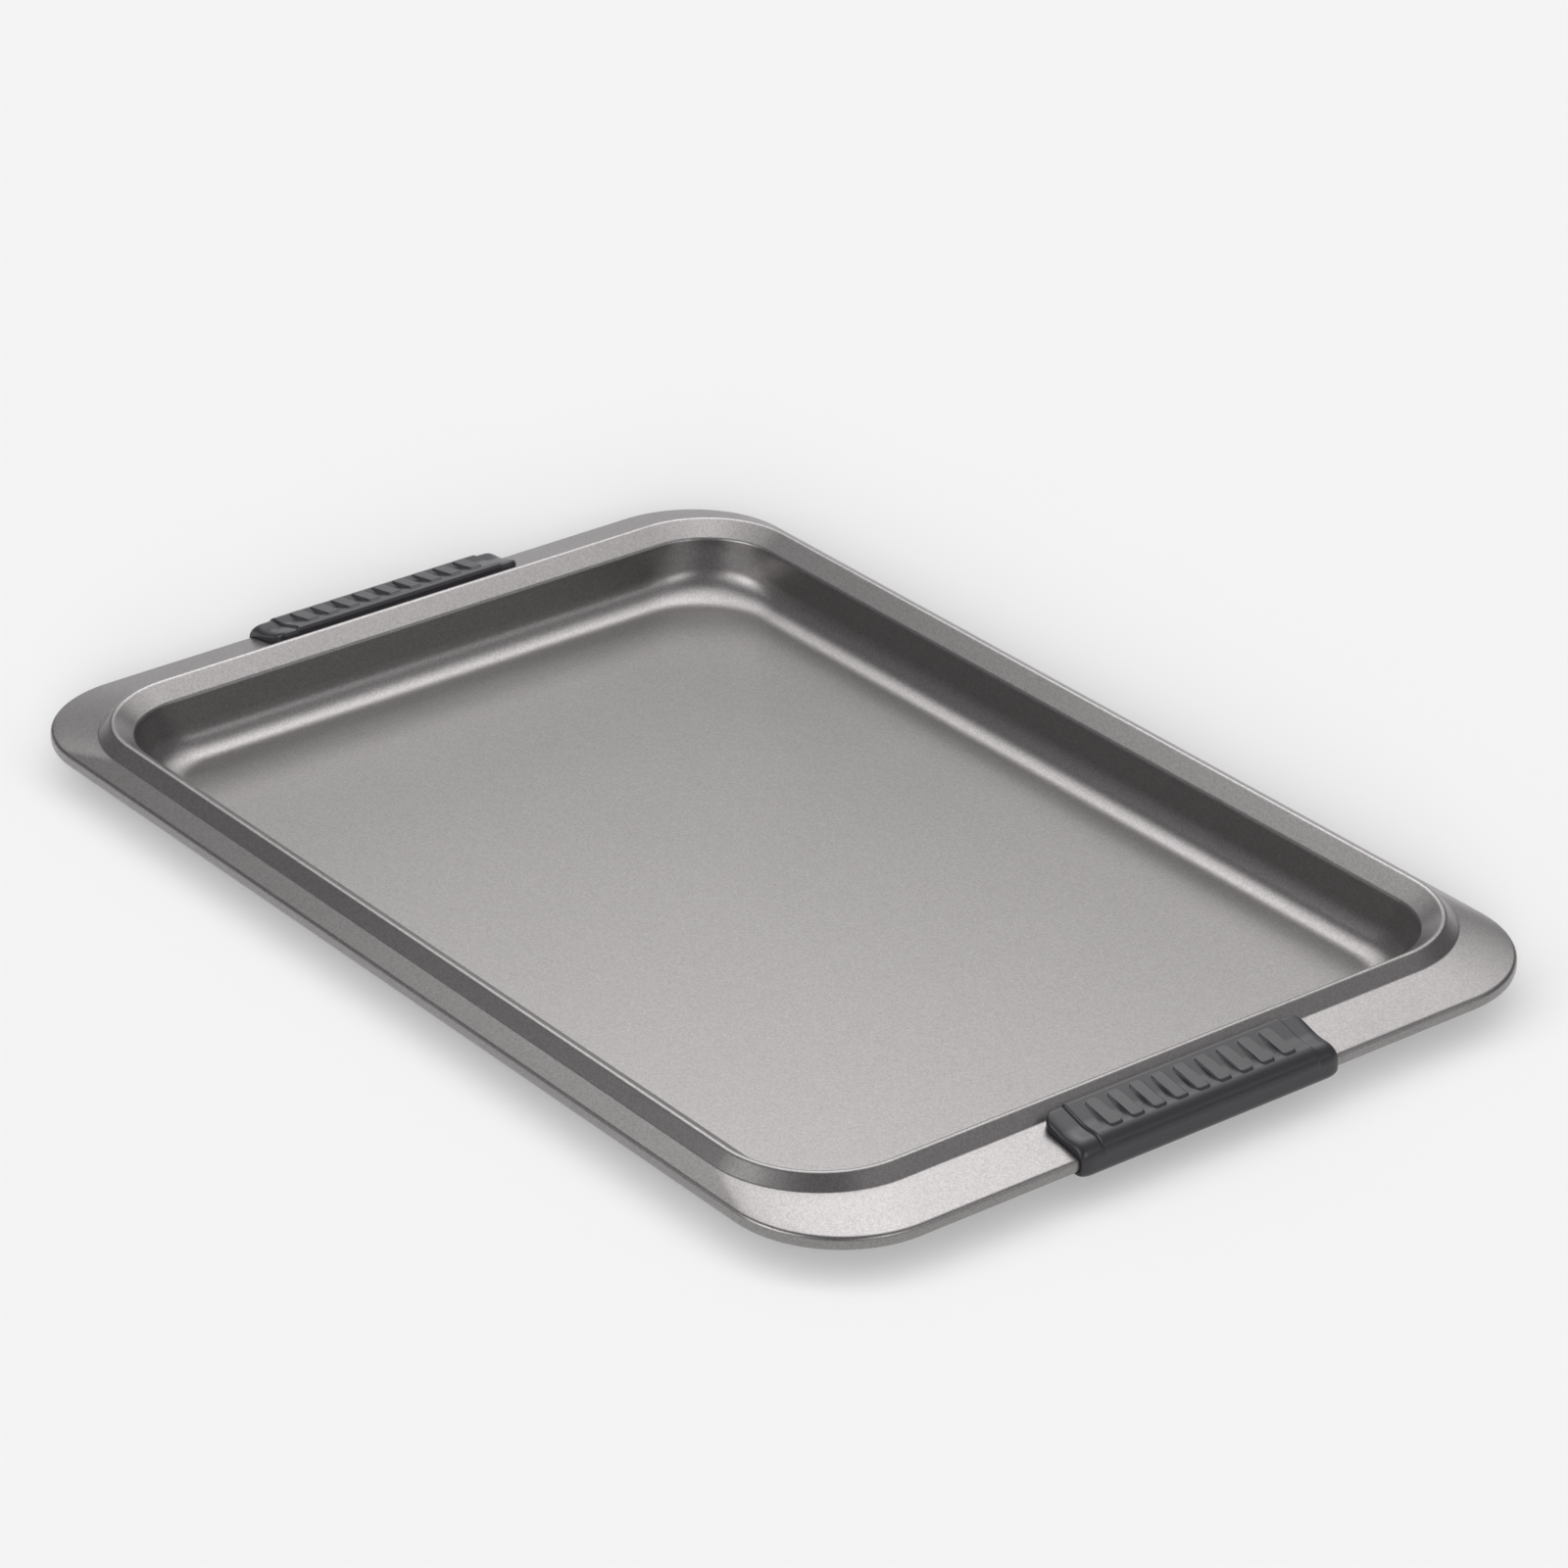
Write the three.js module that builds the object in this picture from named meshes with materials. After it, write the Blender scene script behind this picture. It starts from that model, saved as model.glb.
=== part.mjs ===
// A cookie sheet: one drawn steel pan with a beaded rim and a rolled edge,
// and a moulded silicone grip hooked over the rolled edge at each short end.
// Millimetres, +Z up. The origin lies under the middle of the floor, and +X runs along the pan.
import * as THREE from 'three';

// The sheet and its floor
const SHEET = 0.8; // thickness of the steel
const FLOOR_BEND = 10; // radius between the floor and the wall, on the upper face
const WALL_DRAFT = 3; // lean of the wall outwards, in degrees off vertical
const FLOOR_CORNER = 25.5; // plan radius of the corners where the floor starts to bend up

// The bead round the rim, measured to the line where its two slopes would meet
const RIM_LENGTH = 380;
const RIM_WIDTH = 261.3;
const RIM_CORNER = 33; // plan radius of the corners along that line
const RIM_PEAK = 25.5; // height of that line above the table
const BEAD_INNER_RUN = 6.5; // from the peak inwards to the shoulder of the wall
const BEAD_INNER_DROP = 5.2;
const BEAD_OUTER_RUN = 5; // from the peak outwards to the foot on the flange
const BEAD_OUTER_DROP = 4.4;
const SHOULDER_BEND = 1.8;
const CREST_BEND = 2.6;
const FOOT_BEND = 1.2;

// The flange and its rolled edge
const END_FLANGE = 18.3; // from the bead's foot to the outside of the roll, at the short ends
const SIDE_FLANGE = 6.85; // the same at the long sides
const EDGE_CORNER = 37.7; // plan radius of the corners round the outside of the roll
const EDGE_HEIGHT = 18.1; // where the flange's line meets the roll's flat outer face
const LIP_BEND = 1.5; // between the flange and that face
const ROLL_RADIUS = 2; // outside of the roll under that face
const ROLL_HEIGHT = 14.9; // centre of the roll above the table
const ROLL_TURN = 300; // how far the edge is rolled, in degrees from level

// The silicone grips
const GRIP_GAP = 0.3; // clearance between the silicone and the steel
const GRIP_WRAP = 270; // how far the silicone follows the roll, in degrees from level
const GRIP_LENGTH = 97;
const GRIP_SETBACK = 0.6; // from the bead's foot to the grip's inner face
const GRIP_EDGE = 4.3; // height of the inner edge above the bead's foot
const GRIP_DIP = 2.9; // silicone over the flange at the hollow
const GRIP_DIP_BACK = 5.4; // from the roll's centre inwards to the hollow
const GRIP_BULGE = 4.15; // height of the bulge above the flange's outer edge
const GRIP_WALL = 1.6; // silicone outside the roll
const GRIP_UNDER = 1.1; // silicone below the roll
const GRIP_HOOK = 2; // silicone behind the roll
const GRIP_LEG = 1.6; // silicone under the flange
const GRIP_BARE = 5; // flange left bare underneath, from the bead's foot to the leg
const GRIP_END_ROUND = 4; // rounding of the grip's ends and inner corners
const GRIP_END_WALL = 0.4; // share of the thickness left at the very end
const EDGE_BEND = 1.3;
const DIP_BEND = 12;
const BULGE_BEND = 5.2;
const LOW_BEND = 2.5;
const HEEL_BEND = 1.6;
const TIP_BEND = 0.6;

// The raised panel along the middle of each grip
const PANEL_LENGTH = 81.5;
const PANEL_RISE = 0.7;
const PANEL_STEP = 0.8; // run of the step at each end of the panel

// Facets
const CORNER_STEPS = 8; // along each plan corner of the pan
const WIDE_BEND_STEPS = 7;
const BEND_STEPS = 3;
const CREST_STEPS = 6;
const ROLL_STEPS = 14;
const END_STEPS = 3; // round each end of a grip

const STEEL = { color: 0x9b999a, roughness: 0.42, metalness: 0.85 };
const SILICONE = { color: 0x4a494c, roughness: 0.62, metalness: 0 };

const radians = THREE.MathUtils.degToRad;
const lerp = THREE.MathUtils.lerp;
const clamp = THREE.MathUtils.clamp;

// A point of a section: its place, and the face's normal on the left of the way the line runs
function sectionPoint(x, z, heading) {
  return { x, z, nx: -Math.sin(heading), nz: Math.cos(heading) };
}

// Points on an arc that starts on a heading and turns by a signed angle
function arcPoints(centre, radius, heading, turn, steps) {
  const side = Math.sign(turn);
  const points = [];
  for (let i = 0; i <= steps; i += 1) {
    const way = heading + (turn * i) / steps;
    const x = centre.x + side * radius * Math.sin(way);
    const z = centre.z - side * radius * Math.cos(way);
    points.push(sectionPoint(x, z, way));
  }
  return points;
}

// A line of straights with a bend at each corner between its two ends.
// Where two bends would not fit on the straight between them, both are drawn smaller.
function bentLine(corners) {
  const straights = corners.slice(1).map((corner, i) => {
    const dx = corner.x - corners[i].x;
    const dz = corner.z - corners[i].z;
    return { heading: Math.atan2(dz, dx), length: Math.hypot(dx, dz) };
  });
  const bends = corners.map((corner, i) => {
    if (!corner.bend) return { ...corner, turn: 0, reach: 0 };
    const change = straights[i].heading - straights[i - 1].heading;
    const turn = Math.atan2(Math.sin(change), Math.cos(change));
    return { ...corner, turn, reach: corner.bend * Math.tan(Math.abs(turn) / 2) };
  });
  const fits = straights.map(({ length }, i) => length / (bends[i].reach + bends[i + 1].reach));
  const points = [];
  for (let i = 1; i < corners.length - 1; i += 1) {
    const { x, z, bend, turn, reach, steps } = bends[i];
    const { heading } = straights[i - 1];
    const fit = Math.min(1, fits[i - 1], fits[i]);
    const side = Math.sign(turn) * bend * fit;
    const centre = {
      x: x - reach * fit * Math.cos(heading) - side * Math.sin(heading),
      z: z - reach * fit * Math.sin(heading) + side * Math.cos(heading),
    };
    points.push(...arcPoints(centre, bend * fit, heading, turn, steps));
  }
  return points;
}

// The sheet's line across one side of the pan, x measured outwards from the pan's middle
function rimLine(rimHalf, flange) {
  const shoulder = { x: rimHalf - BEAD_INNER_RUN, z: RIM_PEAK - BEAD_INNER_DROP };
  const wallRun = (shoulder.z - SHEET) * Math.tan(radians(WALL_DRAFT));
  const floorEdge = { x: shoulder.x - wallRun, z: SHEET };
  const floorStart = floorEdge.x - FLOOR_BEND * Math.tan(radians(90 - WALL_DRAFT) / 2);
  const peak = { x: rimHalf, z: RIM_PEAK };
  const foot = { x: rimHalf + BEAD_OUTER_RUN, z: RIM_PEAK - BEAD_OUTER_DROP };
  const edge = { x: foot.x + flange, z: EDGE_HEIGHT };
  const heading = Math.atan2(edge.z - foot.z, edge.x - foot.x);
  const roll = { x: edge.x - ROLL_RADIUS, z: ROLL_HEIGHT };
  return { shoulder, floorEdge, floorStart, peak, foot, edge, heading, roll };
}

// From a point on the flange over its outer edge, down the flat face and round the roll by an angle,
// at a distance outside the steel
function rolledEdge(start, { edge, heading, roll }, gap, turn) {
  const face = edge.x + gap;
  const top = edge.z + gap / Math.cos(heading) + gap * Math.tan(heading);
  const over = bentLine([
    start,
    { x: face, z: top, bend: LIP_BEND + gap, steps: BEND_STEPS },
    { x: face, z: roll.z },
  ]);
  const quarter = Math.PI / 2;
  return [...over, ...arcPoints(roll, ROLL_RADIUS + gap, -quarter, quarter - radians(turn), ROLL_STEPS)];
}

// Plan radius of the corner along the bead. Down the wall it grows to the floor's wider corner.
function beadCorner({ x, z }, { peak, shoulder, floorStart }) {
  const besideBead = RIM_CORNER + x - peak.x;
  if (x > peak.x) return besideBead;
  const wallTop = shoulder.z - SHOULDER_BEND;
  const downWall = clamp((wallTop - z) / (wallTop - SHEET), 0, 1);
  return besideBead + downWall * (FLOOR_CORNER - RIM_CORNER - floorStart + peak.x);
}

// Upper and lower points of the sheet across one side of the pan
function sheetSection(rimHalf, flange) {
  const line = rimLine(rimHalf, flange);
  const bead = bentLine([
    { x: 0, z: SHEET },
    { ...line.floorEdge, bend: FLOOR_BEND, steps: WIDE_BEND_STEPS },
    { ...line.shoulder, bend: SHOULDER_BEND, steps: BEND_STEPS },
    { ...line.peak, bend: CREST_BEND, steps: CREST_STEPS },
    { ...line.foot, bend: FOOT_BEND, steps: BEND_STEPS },
    line.edge,
  ]);
  const rolled = rolledEdge(line.foot, line, 0, ROLL_TURN);
  const upper = [
    ...bead.map((p) => ({ ...p, corner: beadCorner(p, line) })),
    ...rolled.map((p) => ({ ...p, corner: EDGE_CORNER + p.x - line.edge.x })),
  ];
  const lower = upper.map((p) => ({
    x: p.x - SHEET * p.nx,
    z: p.z - SHEET * p.nz,
    corner: p.corner - SHEET * p.nx,
  }));
  return { upper, lower };
}

// One closed ring round the pan, through a point of the end section and one of the side section
function panRing(end, side) {
  const radius = (end.corner + side.corner) / 2;
  const ring = [];
  for (let quarter = 0; quarter < 4; quarter += 1) {
    const signX = quarter === 0 || quarter === 3 ? 1 : -1;
    const signY = quarter < 2 ? 1 : -1;
    for (let i = 0; i <= CORNER_STEPS; i += 1) {
      const angle = (Math.PI / 2) * (quarter + i / CORNER_STEPS);
      const x = signX * (end.x - radius) + radius * Math.cos(angle);
      const y = signY * (side.x - radius) + radius * Math.sin(angle);
      const z = lerp(side.z, end.z, Math.cos(angle) ** 2);
      ring.push(new THREE.Vector3(x, y, z));
    }
  }
  return ring;
}

// Closed surface through rings of equal count, with a flat cap on the first and the last.
// The outline is the first ring in the plane of its cap, running counterclockwise seen from outside.
function loftGeometry(rings, outline) {
  const cap = THREE.ShapeUtils.triangulateShape(outline, []);
  const count = rings[0].length;
  const positions = rings.flat().flatMap((p) => [p.x, p.y, p.z]);
  const index = [];
  for (let r = 0; r < rings.length - 1; r += 1) {
    for (let i = 0; i < count; i += 1) {
      const a = r * count + i;
      const b = r * count + ((i + 1) % count);
      index.push(a, a + count, b + count, a, b + count, b);
    }
  }
  const last = (rings.length - 1) * count;
  cap.forEach(([a, b, c]) => index.push(a, b, c, last + a, last + c, last + b));
  const geometry = new THREE.BufferGeometry();
  geometry.setAttribute('position', new THREE.Float32BufferAttribute(positions, 3));
  geometry.setIndex(index);
  geometry.computeVertexNormals();
  return geometry;
}

// The pan: the upper face from the floor out to the end of the roll, and back under the sheet
function panGeometry() {
  const end = sheetSection(RIM_LENGTH / 2, END_FLANGE);
  const side = sheetSection(RIM_WIDTH / 2, SIDE_FLANGE);
  const upper = end.upper.map((p, i) => panRing(p, side.upper[i]));
  const lower = end.lower.map((p, i) => panRing(p, side.lower[i]));
  const rings = [...upper, ...lower.reverse()];
  return loftGeometry(rings, rings[0].map((p) => new THREE.Vector2(p.x, p.y)));
}

// The steel that a grip closes round: the flange's line and the roll, at a short end
const gripSeat = rimLine(RIM_LENGTH / 2, END_FLANGE);

// Upright distances from the flange's upper face to the silicone over it and under it
const gapAbove = GRIP_GAP / Math.cos(gripSeat.heading);
const gapBelow = (SHEET + GRIP_GAP) / Math.cos(gripSeat.heading);

// Height of the flange's upper face
function flangeHeight(x) {
  return gripSeat.foot.z + (x - gripSeat.foot.x) * Math.tan(gripSeat.heading);
}

// The grip's face against the steel, from its inner edge over the roll and back under the flange
function gripInside(innerFace) {
  const start = { x: innerFace, z: flangeHeight(innerFace) + gapAbove };
  const behind = gripSeat.roll.x - ROLL_RADIUS - GRIP_GAP;
  const tip = gripSeat.foot.x + GRIP_BARE;
  return [
    start,
    ...rolledEdge(start, gripSeat, GRIP_GAP, GRIP_WRAP),
    { x: behind, z: flangeHeight(behind) - gapBelow },
    { x: tip, z: flangeHeight(tip) - gapBelow },
  ];
}

// The grip's outer face, over the same way
function gripOutside(inside) {
  const { roll, foot, edge } = gripSeat;
  const start = inside[0];
  const finish = inside[inside.length - 1];
  const dip = roll.x - GRIP_DIP_BACK;
  const outer = edge.x + GRIP_GAP + GRIP_WALL;
  const top = edge.z + GRIP_BULGE;
  const bottom = roll.z - ROLL_RADIUS - GRIP_GAP - GRIP_UNDER;
  const heel = roll.x - ROLL_RADIUS - GRIP_GAP - GRIP_HOOK;
  const legDepth = (x) => flangeHeight(x) - gapBelow - GRIP_LEG;
  return bentLine([
    start,
    { x: start.x, z: foot.z + GRIP_EDGE, bend: EDGE_BEND, steps: BEND_STEPS },
    { x: dip, z: flangeHeight(dip) + gapAbove + GRIP_DIP, bend: DIP_BEND, steps: BEND_STEPS },
    { x: outer, z: top, bend: BULGE_BEND, steps: WIDE_BEND_STEPS },
    { x: outer, z: bottom, bend: LOW_BEND, steps: WIDE_BEND_STEPS },
    { x: heel, z: bottom, bend: HEEL_BEND, steps: BEND_STEPS },
    { x: heel, z: legDepth(heel), bend: HEEL_BEND, steps: BEND_STEPS },
    { x: finish.x, z: legDepth(finish.x), bend: TIP_BEND, steps: BEND_STEPS },
    finish,
  ]);
}

// The nearest place to a point on a line of points
function nearestOn(line, { x, z }) {
  const places = line.slice(1).map((b, i) => {
    const a = line[i];
    const dx = b.x - a.x;
    const dz = b.z - a.z;
    const share = clamp(((x - a.x) * dx + (z - a.z) * dz) / (dx ** 2 + dz ** 2), 0, 1);
    return { x: a.x + share * dx, z: a.z + share * dz };
  });
  const distances = places.map((place) => Math.hypot(place.x - x, place.z - z));
  return places[distances.indexOf(Math.min(...distances))];
}

// The grip's closed section, with its outer face drawn towards the steel by a share and raised on top
function gripSection(station) {
  const inside = gripInside(gripSeat.foot.x + GRIP_SETBACK + station.inset);
  const outside = gripOutside(inside);
  const outer = outside.map((p) => {
    const seat = nearestOn(inside, p);
    const rise = station.rise * Math.max(0, p.nz);
    const x = lerp(seat.x, p.x + rise * p.nx, station.thick);
    const z = lerp(seat.z, p.z + rise * p.nz, station.thick);
    return { x, z };
  });
  return [...outer, ...inside.reverse()];
}

// Stations along one half of a grip, from its end to the edge of the raised panel
function gripStations() {
  const stations = [];
  const half = GRIP_LENGTH / 2;
  for (let i = 0; i <= END_STEPS; i += 1) {
    const angle = (Math.PI / 2) * (1 - i / END_STEPS);
    const y = half - GRIP_END_ROUND * (1 - Math.sin(angle));
    const thick = lerp(GRIP_END_WALL, 1, Math.cos(angle));
    stations.push({ y, thick, inset: GRIP_END_ROUND * (1 - Math.cos(angle)), rise: 0 });
  }
  const panel = PANEL_LENGTH / 2;
  stations.push({ y: panel + PANEL_STEP / 2, thick: 1, inset: 0, rise: 0 });
  stations.push({ y: panel - PANEL_STEP / 2, thick: 1, inset: 0, rise: PANEL_RISE });
  return stations;
}

// A grip at the +X end: its section carried along Y, with rounded ends
function gripGeometry() {
  const half = gripStations();
  const mirrored = half.map((s) => ({ ...s, y: -s.y })).reverse();
  const rings = [...half, ...mirrored].map((station) =>
    gripSection(station).map((p) => new THREE.Vector3(p.x, station.y, p.z)));
  return loftGeometry(rings, rings[0].map((p) => new THREE.Vector2(p.z, p.x)));
}

function namedMesh(name, geometry, finish) {
  const mesh = new THREE.Mesh(geometry, new THREE.MeshStandardMaterial(finish));
  mesh.name = name;
  return mesh;
}

const cookieSheet = new THREE.Group();
cookieSheet.add(namedMesh('pan', panGeometry(), STEEL));
const rightGrip = namedMesh('right_grip', gripGeometry(), SILICONE);
const leftGrip = namedMesh('left_grip', gripGeometry(), SILICONE);
leftGrip.rotation.z = Math.PI;
cookieSheet.add(rightGrip, leftGrip);

export default cookieSheet;
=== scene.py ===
# A cookie sheet: one drawn steel pan in a metallic non-stick coat, with two moulded silicone grips.
# The object's lengths are named in millimetres and turned into metres in its meshes. The heights of
# bumps and the places in the studio are in metres.
import math
from collections import namedtuple

import bmesh
import bpy
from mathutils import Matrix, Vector


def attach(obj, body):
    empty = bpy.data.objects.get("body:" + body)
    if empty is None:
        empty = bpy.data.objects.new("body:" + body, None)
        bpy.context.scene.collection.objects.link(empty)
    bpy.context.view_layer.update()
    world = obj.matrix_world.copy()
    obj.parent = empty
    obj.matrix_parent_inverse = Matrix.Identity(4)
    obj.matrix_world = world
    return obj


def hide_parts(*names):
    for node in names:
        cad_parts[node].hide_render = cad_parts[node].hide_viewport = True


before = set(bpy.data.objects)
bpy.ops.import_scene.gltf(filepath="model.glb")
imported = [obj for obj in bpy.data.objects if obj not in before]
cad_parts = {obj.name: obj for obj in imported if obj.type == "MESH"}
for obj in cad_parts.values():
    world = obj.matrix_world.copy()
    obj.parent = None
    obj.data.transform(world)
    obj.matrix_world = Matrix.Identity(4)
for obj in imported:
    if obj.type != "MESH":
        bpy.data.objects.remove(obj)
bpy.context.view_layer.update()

MM = 0.001

# The sheet and its floor
SHEET = 0.8
FLOOR_BEND = 10
WALL_DRAFT = math.radians(3)
FLOOR_CORNER = 25.5

# The bead round the rim
RIM_LENGTH = 381
RIM_WIDTH = 262.3
RIM_CORNER = 33.5
RIM_PEAK = 25.9
BEAD_INNER_RUN = 7
BEAD_INNER_DROP = 5.6
BEAD_OUTER_RUN = 4.5
BEAD_OUTER_DROP = 4.8
SHOULDER_BEND = 1.8
CREST_BEND = 1.5
FOOT_BEND = 1.2

# The flange and its rolled edge
END_FLANGE = 18.3
SIDE_FLANGE = 6.85
EDGE_CORNER = 37.7
EDGE_HEIGHT = 17.7
LIP_BEND = 1.5
ROLL_RADIUS = 2
ROLL_HEIGHT = 15.2
ROLL_TURN = math.radians(300)

# The silicone grips
GRIP_GAP = 0.3
GRIP_WRAP = math.radians(270)
GRIP_LENGTH = 97
GRIP_SETBACK = 0.6  # from the bead's foot to the grip's inner face
GRIP_EDGE = 4.3  # height of the inner face over the bead's foot
GRIP_DIP = 2.9  # height over the flange where the two slopes of the hollow top meet
GRIP_DIP_BACK = 5.4  # from the roll's middle back to that place
GRIP_BULGE = 4.55  # height of the outer corner over the flange's edge
GRIP_WALL = 1.6  # thickness outside the roll
GRIP_UNDER = 1.4  # below it
GRIP_HOOK = 2  # behind it
GRIP_LEG = 1.6  # and under the flange
GRIP_BARE = 5  # from the bead's foot to the tip under the flange
GRIP_END_ROUND = 4
GRIP_END_WALL = 0.4  # share of the thickness that is left at the very end
EDGE_BEND = 1.3
DIP_BEND = 12
BULGE_BEND = 5.2
LOW_BEND = 2.5
HEEL_BEND = 1.6
TIP_BEND = 0.6

# The raised panel along the middle of each grip, and the plain ribs on it
PANEL_LENGTH = 81.5
PANEL_RISE = 0.7
PANEL_STEP = 0.5
GROOVE_DEPTH = 0.35
GROOVE_WIDTH = 0.9
RIB_COUNT = 9
RIB_PITCH = 8.2
RIB_WIDTH = 4.6
RIB_CORNER = 1
RIB_RISE = 0.5  # of a rib's flat top over the panel at the rib's two ends
RIB_EDGE = 0.4  # run of a rib's sloping side
RIB_INNER = 3.2  # from the grip's inner face to the near end of the ribs
RIB_OUTER = 15.2  # and to their far end

# Fineness of the meshes
STRAIGHT_CUTS = 4
FLOOR_CUTS = 18
BEND_CUTS = 8
CREST_CUTS = 14
ROLL_CUTS = 48
CORNER_CUTS = 40
SIDE_CUTS = 48
END_CUTS = 30
GRIP_PITCH = 0.25
GRIP_TOP_CUTS = 26
GRIP_UNDER_CUTS = 6
GRIP_END_CUTS = 12
GRIP_BARE_CUTS = 6
BEND_LAP = 0.15  # from a bend to the extra point beside it
SHARP_ANGLE = math.radians(50)

# Finishes, with linear colours
WHITE = (1, 1, 1, 1)
STEEL_DARK = (0.2305, 0.2195, 0.22, 1)
STEEL_LIGHT = (0.3065, 0.2918, 0.2925, 1)
STEEL_METALLIC = 0.9
STEEL_ROUGHNESS = (0.3, 0.36)
FLAKE_SCALE = 2400
CLOUD_SCALE = 14
CLOUD_DETAIL = 3
PEBBLE_SCALE = 1500
PEBBLE_DETAIL = 2
PEBBLE_STRENGTH = 0.25
PEBBLE_HEIGHT = 0.00004
SILICONE_DARK = (0.028, 0.0265, 0.031, 1)
SILICONE_LIGHT = (0.034, 0.0322, 0.0375, 1)
SILICONE_ROUGHNESS = (0.3, 0.38)
SILICONE_IOR = 1.47
MOTTLE_SCALE = 220
MOTTLE_DETAIL = 4
SKIN_SCALE = 1600
SKIN_DETAIL = 3
SKIN_STRENGTH = 0.15
SKIN_HEIGHT = 0.00005

# Lamps that light the object: place, aim, size and radiance
LAMPS = {
    "key_near": ((-0.45, 0.15, 0.9), (-0.45, 0.15, 0), (0.99, 0.98), 1.27),
    "key_far": ((-0.64, 0.95, 0.91), (-0.64, 0.95, 0), (0.86, 1.34), 1.17),
    "key_wide": ((-0.72, 0.45, 0.92), (-0.72, 0.45, 0), (1.96, 1.19), 0.98),
    "overhead": ((-0.31, 0.73, 0.93), (-0.31, 0.73, 0), (3.02, 1.44), 0.28),
    "front_strip": ((-0.12, -1.19, 0.9), (-0.12, -1.19, 0), (1.8, 0.39), 1.35),
    "front_left": ((-0.03, -1.6, 0.68), (0, 0, 0.68), (1.2, 0.56), 3.4),
    "right": ((1.576, 0.278, 0.68), (0, 0, 0.68), (2.2, 0.56), 1.05),
    "right_narrow": ((1.566, -0.08, 0.76), (0, 0, 0.76), (0.4, 0.5), 4),
    "front_narrow": ((-0.25, -1.58, 0.76), (0, 0, 0.76), (0.4, 0.5), 3.2),
    "back_low": ((-1.226, 1.028, 0.2), (0, 0, 0.2), (1.69, 0.4), 0.76),
}

# Soft suns that light the floor: direction, spread and strength
FLOOR_SUNS = {
    "high_sun": ((0.48, -0.52, 0.71), math.radians(105), 2.75),
    "low_sun": ((0.76, -0.56, 0.34), math.radians(26), 3.1),
}

# The room and its floor
ROOM_LIGHT = 0.18
BACKDROP = 0.89
FLOOR_SIZE = 40
FLOOR_TONE = (0.75, 0.75, 0.75, 1)
FLOOR_GLOW = 0.05

# Camera, with its lens and sensor in millimetres
CAMERA_AT = (1.3381, -1.0185, 0.9016)
CAMERA_AIM = (-0.02513, 0.02951, 0.0152)
CAMERA_LENS = 140.3
SENSOR = 36

Spot = namedtuple("Spot", "x z nx nz")
Corner = namedtuple("Corner", "x z bend steps cuts", defaults=(0, 0, STRAIGHT_CUTS))
Rim = namedtuple("Rim", "shoulder floor_edge floor_start peak foot edge heading roll leave touch")
Station = namedtuple("Station", "y thick inset rise")


def lerp(a, b, share):
    return a + (b - a) * share


def smooth_step(value, low, high):
    share = min(1, max(0, (value - low) / (high - low)))
    return share * share * (3 - 2 * share)


# Sections
def spot(x, z, heading):
    """A point of a section, with the normal on the left of the way the line runs."""
    return Spot(x, z, -math.sin(heading), math.cos(heading))


def arc(centre, radius, heading, turn, steps):
    side = math.copysign(radius, turn)
    spots = []
    for i in range(steps + 1):
        way = heading + turn * i / steps
        spots.append(spot(centre[0] + side * math.sin(way), centre[1] - side * math.cos(way), way))
    return spots


def straight(start, finish, heading, cuts):
    """Points between two ends, with one close to each end so that the straight is shaded flat."""
    length = math.hypot(finish[0] - start[0], finish[1] - start[1])
    lap = min(BEND_LAP / max(length, BEND_LAP), 1 / (cuts + 2))
    shares = [lap] + [i / (cuts + 1) for i in range(1, cuts + 1)] + [1 - lap]
    return [spot(lerp(start[0], finish[0], s), lerp(start[1], finish[1], s), heading) for s in shares]


def bent_line(corners):
    """Straights with a bend at each inner corner. Bends that would not fit are drawn smaller."""
    headings = []
    lengths = []
    for a, b in zip(corners, corners[1:]):
        headings.append(math.atan2(b.z - a.z, b.x - a.x))
        lengths.append(math.hypot(b.x - a.x, b.z - a.z))
    turns = [0]
    for before, after in zip(headings, headings[1:]):
        turns.append(math.atan2(math.sin(after - before), math.cos(after - before)))
    turns.append(0)
    reaches = [corner.bend * math.tan(abs(turn) / 2) for corner, turn in zip(corners, turns)]
    fits = [length / (a + b) for length, a, b in zip(lengths, reaches, reaches[1:])]
    spots = []
    leave = (corners[0].x, corners[0].z)
    for i in range(1, len(corners) - 1):
        x, z, bend, steps, cuts = corners[i]
        heading = headings[i - 1]
        fit = min(1, fits[i - 1], fits[i])
        reach = reaches[i] * fit
        enter = (x - reach * math.cos(heading), z - reach * math.sin(heading))
        side = math.copysign(bend * fit, turns[i])
        centre = (enter[0] - side * math.sin(heading), enter[1] + side * math.cos(heading))
        bent = arc(centre, bend * fit, heading, turns[i], steps)
        spots += straight(leave, enter, heading, cuts) + bent
        leave = (bent[-1].x, bent[-1].z)
    last = corners[-1]
    return spots + straight(leave, (last.x, last.z), headings[-1], last.cuts)


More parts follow.
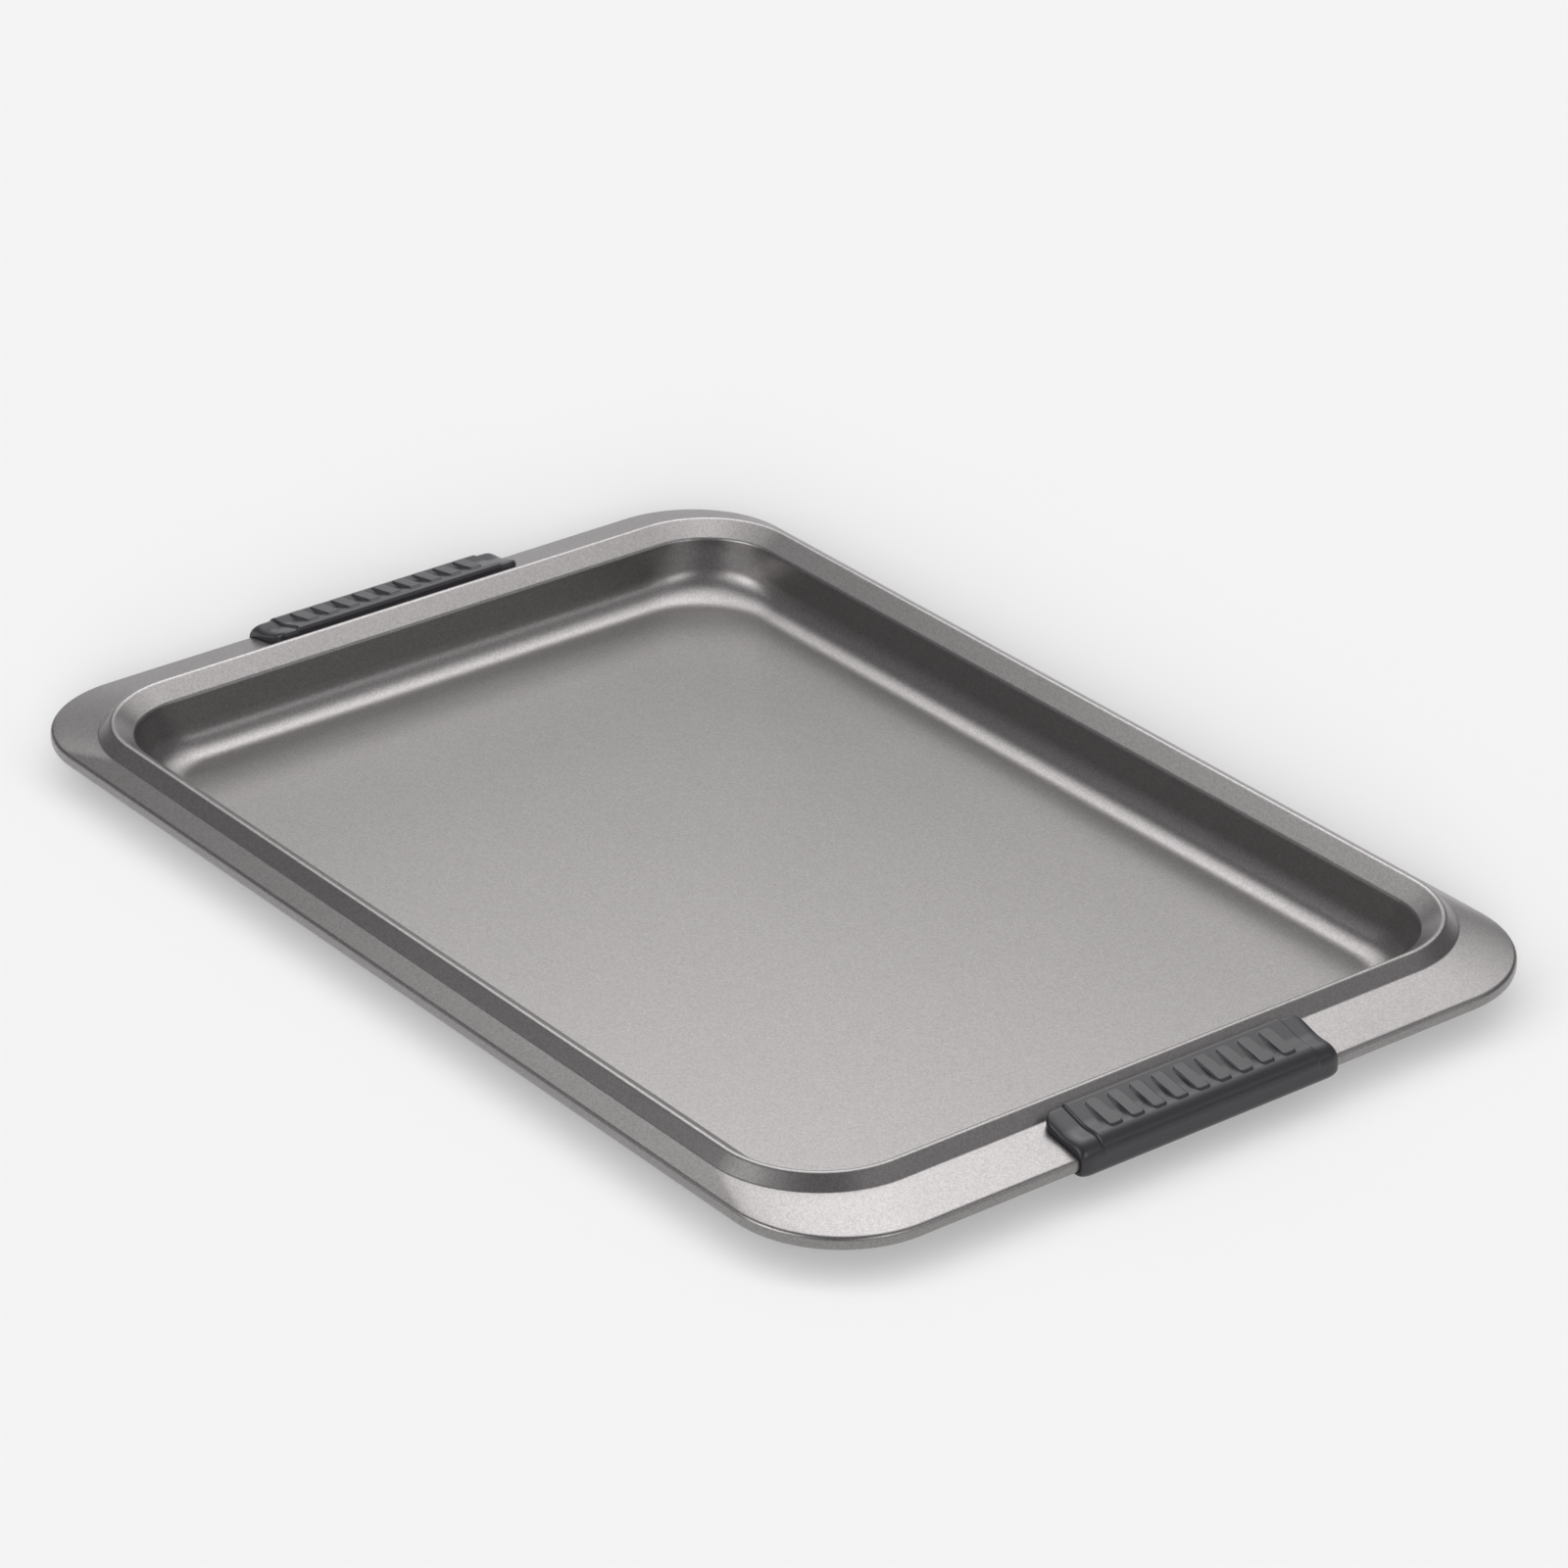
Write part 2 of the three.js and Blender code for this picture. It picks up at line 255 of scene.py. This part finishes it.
def rim_line(rim_half, flange):
    """The sheet's line across one side of the pan, x measured outwards from the pan's middle."""
    shoulder = Corner(rim_half - BEAD_INNER_RUN, RIM_PEAK - BEAD_INNER_DROP, SHOULDER_BEND, BEND_CUTS)
    wall_run = (shoulder.z - SHEET) * math.tan(WALL_DRAFT)
    floor_edge = Corner(shoulder.x - wall_run, SHEET, FLOOR_BEND, FLOOR_CUTS)
    floor_start = floor_edge.x - FLOOR_BEND * math.tan((math.pi / 2 - WALL_DRAFT) / 2)
    peak = Corner(rim_half, RIM_PEAK, CREST_BEND, CREST_CUTS)
    foot = Corner(rim_half + BEAD_OUTER_RUN, RIM_PEAK - BEAD_OUTER_DROP, FOOT_BEND, BEND_CUTS)
    edge = Corner(foot.x + flange, EDGE_HEIGHT, LIP_BEND, BEND_CUTS)
    heading = math.atan2(edge.z - foot.z, edge.x - foot.x)
    roll = (edge.x - ROLL_RADIUS, ROLL_HEIGHT)
    slope = math.atan2(foot.z - peak.z, foot.x - peak.x)
    leave = foot.x + FOOT_BEND * math.tan((heading - slope) / 2) * math.cos(heading)
    touch = edge.x - LIP_BEND * math.tan((math.pi / 2 + heading) / 2) * math.cos(heading)
    return Rim(shoulder, floor_edge, floor_start, peak, foot, edge, heading, roll, leave, touch)


def round_roll(rim, gap, turn):
    """From the foot of the roll's flat face round the roll by an angle, at a distance outside the steel."""
    quarter = math.pi / 2
    return arc(rim.roll, ROLL_RADIUS + gap, -quarter, quarter - turn, ROLL_CUTS)


def sheet_corner(x, z, rim):
    """Plan radius of the corner. Down the wall it is led to the floor's own, which is wider than an
    offset of the rim's, and over the flange it runs evenly from the bead to the roll."""
    beside_bead = RIM_CORNER + min(x, rim.leave) - rim.peak.x
    if x < rim.peak.x:
        wall_top = rim.shoulder.z - SHOULDER_BEND
        down_wall = min(1, max(0, (wall_top - z) / (wall_top - SHEET)))
        return beside_bead + down_wall * (FLOOR_CORNER - RIM_CORNER - rim.floor_start + rim.peak.x)
    at_roll = EDGE_CORNER + rim.touch - rim.edge.x
    share = min(1, max(0, (x - rim.leave) / (rim.touch - rim.leave)))
    return lerp(beside_bead, at_roll, share) + max(0, x - rim.touch)


def sheet_section(rim_half, flange):
    """The upper face's points from the floor to the end of the roll, each with its corner's radius."""
    rim = rim_line(rim_half, flange)
    start = Corner(rim.floor_edge.x - FLOOR_BEND, SHEET)
    drop = Corner(rim.edge.x, ROLL_HEIGHT)
    sheet = bent_line([start, rim.floor_edge, rim.shoulder, rim.peak, rim.foot, rim.edge, drop])
    roll = round_roll(rim, 0, ROLL_TURN)
    section = [(p, sheet_corner(p.x, p.z, rim)) for p in sheet]
    return section + [(p, EDGE_CORNER + p.x - rim.edge.x) for p in roll]


# Meshes
def loft(rings):
    """Points and faces of a closed surface through rings of equal count, capped at both ends."""
    count = len(rings[0])
    verts = [point for ring in rings for point in ring]
    faces = []
    for r in range(len(rings) - 1):
        for i in range(count):
            a = r * count + i
            b = r * count + (i + 1) % count
            faces.append((a, a + count, b + count, b))
    last = (len(rings) - 1) * count
    faces.append(tuple(range(count)))
    faces.append(tuple(last + i for i in reversed(range(count))))
    return verts, faces


def mesh_object(name, rings, material):
    verts, faces = loft(rings)
    mesh = bpy.data.meshes.new(name)
    mesh.from_pydata([[c * MM for c in v] for v in verts], [], faces)
    work = bmesh.new()
    work.from_mesh(mesh)
    bmesh.ops.recalc_face_normals(work, faces=work.faces)
    work.to_mesh(mesh)
    work.free()
    mesh.shade_smooth()
    mesh.set_sharp_from_angle(angle=SHARP_ANGLE)
    mesh.materials.append(material)
    piece = bpy.data.objects.new(name, mesh)
    bpy.context.scene.collection.objects.link(piece)
    return piece


# The pan
def pan_ring(end, side, corner):
    """One closed ring through a point of the end section and one of the side section."""
    ring = []
    for quarter in range(4):
        sign_x = 1 if quarter in (0, 3) else -1
        sign_y = 1 if quarter < 2 else -1
        for i in range(CORNER_CUTS + 1):
            angle = math.pi / 2 * (quarter + i / CORNER_CUTS)
            x = sign_x * (end.x - corner) + corner * math.cos(angle)
            y = sign_y * (side.x - corner) + corner * math.sin(angle)
            ring.append((x, y, lerp(side.z, end.z, math.cos(angle) ** 2)))
        x, y, z = ring[-1]
        along_side = quarter in (0, 2)
        cuts = SIDE_CUTS if along_side else END_CUTS
        for i in range(1, cuts):
            share = 1 - 2 * i / cuts
            ring.append((x * share, y, z) if along_side else (x, y * share, z))
    return ring


def build_pan(material):
    upper = []
    lower = []
    end_section = sheet_section(RIM_LENGTH / 2, END_FLANGE)
    side_section = sheet_section(RIM_WIDTH / 2, SIDE_FLANGE)
    for (end, end_corner), (side, side_corner) in zip(end_section, side_section):
        corner = (end_corner + side_corner) / 2
        upper.append(pan_ring(end, side, corner))
        end_under = end._replace(x=end.x - SHEET * end.nx, z=end.z - SHEET * end.nz)
        side_under = side._replace(x=side.x - SHEET * side.nx, z=side.z - SHEET * side.nz)
        drawn_in = SHEET * (end.nx + side.nx) / 2
        lower.append(pan_ring(end_under, side_under, corner - drawn_in))
    return mesh_object("coated_pan", upper + lower[::-1], material)


# The grips
seat = rim_line(RIM_LENGTH / 2, END_FLANGE)
gap_above = GRIP_GAP / math.cos(seat.heading)
gap_below = (SHEET + GRIP_GAP) / math.cos(seat.heading)


def flange_height(x):
    return seat.foot.z + (x - seat.foot.x) * math.tan(seat.heading)


def grip_inside(inner_face):
    """The face against the steel, from the inner edge over the roll and back under the flange."""
    face = seat.edge.x + GRIP_GAP
    behind = seat.roll[0] - ROLL_RADIUS - GRIP_GAP
    tip = seat.foot.x + GRIP_BARE
    start = spot(inner_face, flange_height(inner_face) + gap_above, seat.heading)
    edge = Corner(face, flange_height(face) + gap_above, LIP_BEND + GRIP_GAP, BEND_CUTS, GRIP_UNDER_CUTS)
    over = bent_line([Corner(start.x, start.z), edge, Corner(face, ROLL_HEIGHT)])
    wrap = round_roll(seat, GRIP_GAP, GRIP_WRAP)
    back = (behind, flange_height(behind) - gap_below)
    finish = (tip, flange_height(tip) - gap_below)
    under = straight(back, finish, seat.heading + math.pi, GRIP_UNDER_CUTS)
    corner = spot(*back, seat.heading)
    return [start] + over + wrap + [corner] + under + [spot(*finish, seat.heading)]


def grip_outside(start, finish):
    """The outer face, over the same way."""
    dip = seat.roll[0] - GRIP_DIP_BACK
    outer = seat.edge.x + GRIP_GAP + GRIP_WALL
    top = EDGE_HEIGHT + GRIP_BULGE
    bottom = ROLL_HEIGHT - ROLL_RADIUS - GRIP_GAP - GRIP_UNDER
    heel = seat.roll[0] - ROLL_RADIUS - GRIP_GAP - GRIP_HOOK
    over_dip = flange_height(dip) + gap_above + GRIP_DIP

    def leg_depth(x):
        return flange_height(x) - gap_below - GRIP_LEG

    under = GRIP_UNDER_CUTS
    return bent_line([
        Corner(start.x, start.z),
        Corner(start.x, seat.foot.z + GRIP_EDGE, EDGE_BEND, BEND_CUTS, under),
        Corner(dip, over_dip, DIP_BEND, GRIP_TOP_CUTS, GRIP_TOP_CUTS),
        Corner(outer, top, BULGE_BEND, GRIP_TOP_CUTS, under),
        Corner(outer, bottom, LOW_BEND, FLOOR_CUTS, under),
        Corner(heel, bottom, HEEL_BEND, BEND_CUTS, under),
        Corner(heel, leg_depth(heel), HEEL_BEND, BEND_CUTS, under),
        Corner(finish.x, leg_depth(finish.x), TIP_BEND, BEND_CUTS, under),
        Corner(finish.x, finish.z),
    ])


def nearest_on(line, x, z):
    """The nearest place to a point on a line of points."""
    places = []
    for a, b in zip(line, line[1:]):
        dx = b.x - a.x
        dz = b.z - a.z
        share = min(1, max(0, ((x - a.x) * dx + (z - a.z) * dz) / (dx ** 2 + dz ** 2)))
        places.append((a.x + share * dx, a.z + share * dz))
    return min(places, key=lambda place: math.hypot(place[0] - x, place[1] - z))


def grip_section(thick, inset):
    """The outer points with the outer face drawn towards the steel by a share, and the inner points."""
    inside = grip_inside(seat.foot.x + GRIP_SETBACK + inset)
    outside = grip_outside(inside[0], inside[-1])
    outer = []
    for p in outside:
        x, z = nearest_on(inside, p.x, p.z)
        outer.append(p._replace(x=lerp(x, p.x, thick), z=lerp(z, p.z, thick)))
    return outer, inside[::-1]


def grip_stations():
    """Stations from one end of a grip to the other."""
    half = GRIP_LENGTH / 2
    panel = PANEL_LENGTH / 2
    stations = []
    for i in range(GRIP_END_CUTS + 1):
        angle = math.pi / 2 * (1 - i / GRIP_END_CUTS)
        y = half - GRIP_END_ROUND * (1 - math.sin(angle))
        thick = lerp(GRIP_END_WALL, 1, math.cos(angle))
        stations.append(Station(y, thick, GRIP_END_ROUND * (1 - math.cos(angle)), 0))
    bare_start = stations[-1].y
    bare_end = panel + PANEL_STEP + GROOVE_WIDTH
    for i in range(1, GRIP_BARE_CUTS + 1):
        stations.append(Station(lerp(bare_start, bare_end, i / GRIP_BARE_CUTS), 1, 0, 0))
    pitches = math.ceil(bare_end / GRIP_PITCH)
    for i in range(1, pitches + 1):
        y = bare_end * (1 - i / pitches)
        on_panel = 1 - smooth_step(y, panel - PANEL_STEP / 2, panel + PANEL_STEP / 2)
        in_groove = max(0, 1 - abs(y - panel - PANEL_STEP / 2) / (GROOVE_WIDTH / 2))
        stations.append(Station(y, 1, 0, PANEL_RISE * on_panel - GROOVE_DEPTH * in_groove))
    return stations + [s._replace(y=-s.y) for s in stations[-2::-1]]


def rib_share(x, y):
    """How far a place on the panel belongs to a plain rib: 1 on its flat top, 0 beside it."""
    most = (RIB_COUNT - 1) / 2
    middle = RIB_PITCH * max(-most, min(most, round(y / RIB_PITCH)))
    centre = seat.foot.x + GRIP_SETBACK + (RIB_INNER + RIB_OUTER) / 2
    across = abs(x - centre) - (RIB_OUTER - RIB_INNER) / 2 + RIB_CORNER
    along = abs(y - middle) - RIB_WIDTH / 2 + RIB_CORNER
    past = math.hypot(max(0, across), max(0, along)) + min(0, max(across, along)) - RIB_CORNER
    return 1 - smooth_step(past, -RIB_EDGE / 2, RIB_EDGE / 2)


def rib_top(outer):
    """Height of the ribs' flat tops: a straight line over the hollow, from one end of a rib to the other."""
    face = seat.foot.x + GRIP_SETBACK
    top = [p for p in outer if p.nz > 0]
    inner, far = (min(top, key=lambda p: abs(p.x - face - end)) for end in (RIB_INNER, RIB_OUTER))
    slope = (far.z - inner.z) / (far.x - inner.x)
    return lambda x: inner.z + slope * (x - inner.x) + PANEL_RISE + RIB_RISE


def grip_rings():
    tops = rib_top(grip_section(1, 0)[0])
    sections = {}
    rings = []
    for station in grip_stations():
        key = (station.thick, station.inset)
        if key not in sections:
            sections[key] = grip_section(*key)
        outer, inside = sections[key]
        ring = []
        for p in outer:
            rise = station.rise * max(0, p.nz)
            x = p.x + rise * p.nx
            z = p.z + rise * p.nz
            if station.rise > 0 and p.nz > 0:
                z = lerp(z, tops(x), rib_share(x, station.y))
            ring.append((x, station.y, z))
        rings.append(ring + [(p.x, station.y, p.z) for p in inside])
    return rings


# Materials
def new_material(name):
    material = bpy.data.materials.new(name)
    material.use_nodes = True
    return material, material.node_tree, material.node_tree.nodes["Principled BSDF"]


def add_node(tree, kind, **settings):
    """A node with its settings. Those that start with in_ are values of its inputs."""
    node = tree.nodes.new(kind)
    for key, value in settings.items():
        if key.startswith("in_"):
            node.inputs[key.removeprefix("in_").replace("_", " ")].default_value = value
        else:
            setattr(node, key, value)
    return node


def add_texture(tree, kind, **settings):
    """A texture that is fixed to the object."""
    texture = add_node(tree, kind, **settings)
    place = add_node(tree, "ShaderNodeTexCoord")
    tree.links.new(place.outputs["Object"], texture.inputs["Vector"])
    return texture


def vary_colour(tree, bsdf, share, dark, light):
    tone = add_node(tree, "ShaderNodeMix", data_type="RGBA", in_A=dark, in_B=light)
    tree.links.new(share, tone.inputs["Factor"])
    tree.links.new(tone.outputs["Result"], bsdf.inputs["Base Color"])


def vary_roughness(tree, bsdf, share, limits):
    gloss = add_node(tree, "ShaderNodeMapRange", in_To_Min=limits[0], in_To_Max=limits[1])
    tree.links.new(share, gloss.inputs["Value"])
    tree.links.new(gloss.outputs["Result"], bsdf.inputs["Roughness"])


def add_bump(tree, bsdf, height, strength, distance):
    bump = add_node(tree, "ShaderNodeBump", in_Strength=strength, in_Distance=distance)
    tree.links.new(height, bump.inputs["Height"])
    tree.links.new(bump.outputs["Normal"], bsdf.inputs["Normal"])


def coated_steel():
    """Grey non-stick coat: fine metallic flake, a faint cloudiness, and a slightly pebbled surface."""
    material, tree, bsdf = new_material("nonstick_coat")
    flake = add_texture(tree, "ShaderNodeTexVoronoi", in_Scale=FLAKE_SCALE)
    parts = add_node(tree, "ShaderNodeSeparateColor")
    tree.links.new(flake.outputs["Color"], parts.inputs["Color"])
    vary_colour(tree, bsdf, parts.outputs["Red"], STEEL_DARK, STEEL_LIGHT)
    cloud = add_texture(tree, "ShaderNodeTexNoise", in_Scale=CLOUD_SCALE, in_Detail=CLOUD_DETAIL)
    vary_roughness(tree, bsdf, cloud.outputs["Fac"], STEEL_ROUGHNESS)
    pebble = add_texture(tree, "ShaderNodeTexNoise", in_Scale=PEBBLE_SCALE, in_Detail=PEBBLE_DETAIL)
    add_bump(tree, bsdf, pebble.outputs["Fac"], PEBBLE_STRENGTH, PEBBLE_HEIGHT)
    bsdf.inputs["Metallic"].default_value = STEEL_METALLIC
    return material


def silicone():
    """Charcoal silicone: a satin moulded skin with a faint mottle."""
    material, tree, bsdf = new_material("moulded_silicone")
    mottle = add_texture(tree, "ShaderNodeTexNoise", in_Scale=MOTTLE_SCALE, in_Detail=MOTTLE_DETAIL)
    vary_colour(tree, bsdf, mottle.outputs["Fac"], SILICONE_DARK, SILICONE_LIGHT)
    vary_roughness(tree, bsdf, mottle.outputs["Fac"], SILICONE_ROUGHNESS)
    skin = add_texture(tree, "ShaderNodeTexNoise", in_Scale=SKIN_SCALE, in_Detail=SKIN_DETAIL)
    add_bump(tree, bsdf, skin.outputs["Fac"], SKIN_STRENGTH, SKIN_HEIGHT)
    bsdf.inputs["IOR"].default_value = SILICONE_IOR
    return material


# The studio
def aim(thing, at, target):
    thing.location = at
    way = Vector(target) - Vector(at)
    thing.rotation_euler = way.to_track_quat("-Z", "Y").to_euler()


def background_rays(tree):
    """A value of 1 for what the camera sees, directly or in something shiny or clear, else 0."""
    path = add_node(tree, "ShaderNodeLightPath")
    total = path.outputs["Is Camera Ray"]
    for ray in ("Is Glossy Ray", "Is Transmission Ray"):
        most = add_node(tree, "ShaderNodeMath", operation="MAXIMUM")
        tree.links.new(total, most.inputs[0])
        tree.links.new(path.outputs[ray], most.inputs[1])
        total = most.outputs["Value"]
    return total


def build_floor():
    """A matt floor, with a faint glow where the camera sees it."""
    material, tree, bsdf = new_material("studio_floor")
    bsdf.inputs["Base Color"].default_value = FLOOR_TONE
    bsdf.inputs["Roughness"].default_value = 1
    bsdf.inputs["Specular IOR Level"].default_value = 0
    bsdf.inputs["Emission Color"].default_value = WHITE
    glow = add_node(tree, "ShaderNodeMath", operation="MULTIPLY")
    tree.links.new(background_rays(tree), glow.inputs[0])
    glow.inputs[1].default_value = FLOOR_GLOW
    tree.links.new(glow.outputs["Value"], bsdf.inputs["Emission Strength"])
    half = FLOOR_SIZE / 2
    mesh = bpy.data.meshes.new("studio_floor")
    corners = [(-half, -half, 0), (half, -half, 0), (half, half, 0), (-half, half, 0)]
    mesh.from_pydata(corners, [], [(0, 1, 2, 3)])
    mesh.materials.append(material)
    floor = bpy.data.objects.new("studio_floor", mesh)
    bpy.context.scene.collection.objects.link(floor)
    return floor


def build_world():
    """A dim room, with a pale backdrop where the camera sees it."""
    world = bpy.data.worlds.new("studio")
    bpy.context.scene.world = world
    world.use_nodes = True
    tree = world.node_tree
    background = tree.nodes["Background"]
    background.inputs["Color"].default_value = WHITE
    path = add_node(tree, "ShaderNodeLightPath")
    level = add_node(tree, "ShaderNodeMapRange", in_To_Min=ROOM_LIGHT, in_To_Max=BACKDROP)
    tree.links.new(path.outputs["Is Camera Ray"], level.inputs["Value"])
    tree.links.new(level.outputs["Result"], background.inputs["Strength"])


def lit_group(name, things):
    """A collection of what a lamp lights."""
    group = bpy.data.collections.new(name)
    for thing in things:
        group.objects.link(thing)
    return group


def hang_lamp(lamp, lit, at, target):
    holder = bpy.data.objects.new(lamp.name, lamp)
    aim(holder, at, target)
    holder.visible_camera = False
    holder.light_linking.receiver_collection = lit
    bpy.context.scene.collection.objects.link(holder)


def area_light(name, lit, at, target, size, radiance):
    lamp = bpy.data.lights.new(name, "AREA")
    lamp.shape = "RECTANGLE"
    lamp.size, lamp.size_y = size
    lamp.energy = math.pi * size[0] * size[1] * radiance
    hang_lamp(lamp, lit, at, target)


def sun_light(name, lit, at, spread, strength):
    lamp = bpy.data.lights.new(name, "SUN")
    lamp.angle = spread
    lamp.energy = strength
    hang_lamp(lamp, lit, at, (0, 0, 0))


def build_camera():
    data = bpy.data.cameras.new("camera")
    data.sensor_width = SENSOR
    data.lens = CAMERA_LENS
    camera = bpy.data.objects.new("camera", data)
    aim(camera, CAMERA_AT, CAMERA_AIM)
    bpy.context.scene.collection.objects.link(camera)
    bpy.context.scene.camera = camera


build_camera()
steel = coated_steel()
rubber = silicone()
pan = build_pan(steel)
right_rings = grip_rings()
left_rings = [[(-x, -y, z) for x, y, z in ring] for ring in right_rings]
right_grip = mesh_object("ribbed_right_grip", right_rings, rubber)
left_grip = mesh_object("ribbed_left_grip", left_rings, rubber)
for piece, node, slot in (
    (pan, "pan", "coated_steel"),
    (right_grip, "right_grip", "silicone"),
    (left_grip, "left_grip", "silicone"),
):
    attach(piece, "root")
    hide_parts(node)

build_world()
lit_floor = lit_group("lit_floor", [build_floor()])
lit_object = lit_group("lit_object", [pan, right_grip, left_grip])
for name, sun in FLOOR_SUNS.items():
    sun_light(name, lit_floor, *sun)
for name, lamp in LAMPS.items():
    area_light(name, lit_object, *lamp)
bpy.context.scene.view_settings.view_transform = "Standard"
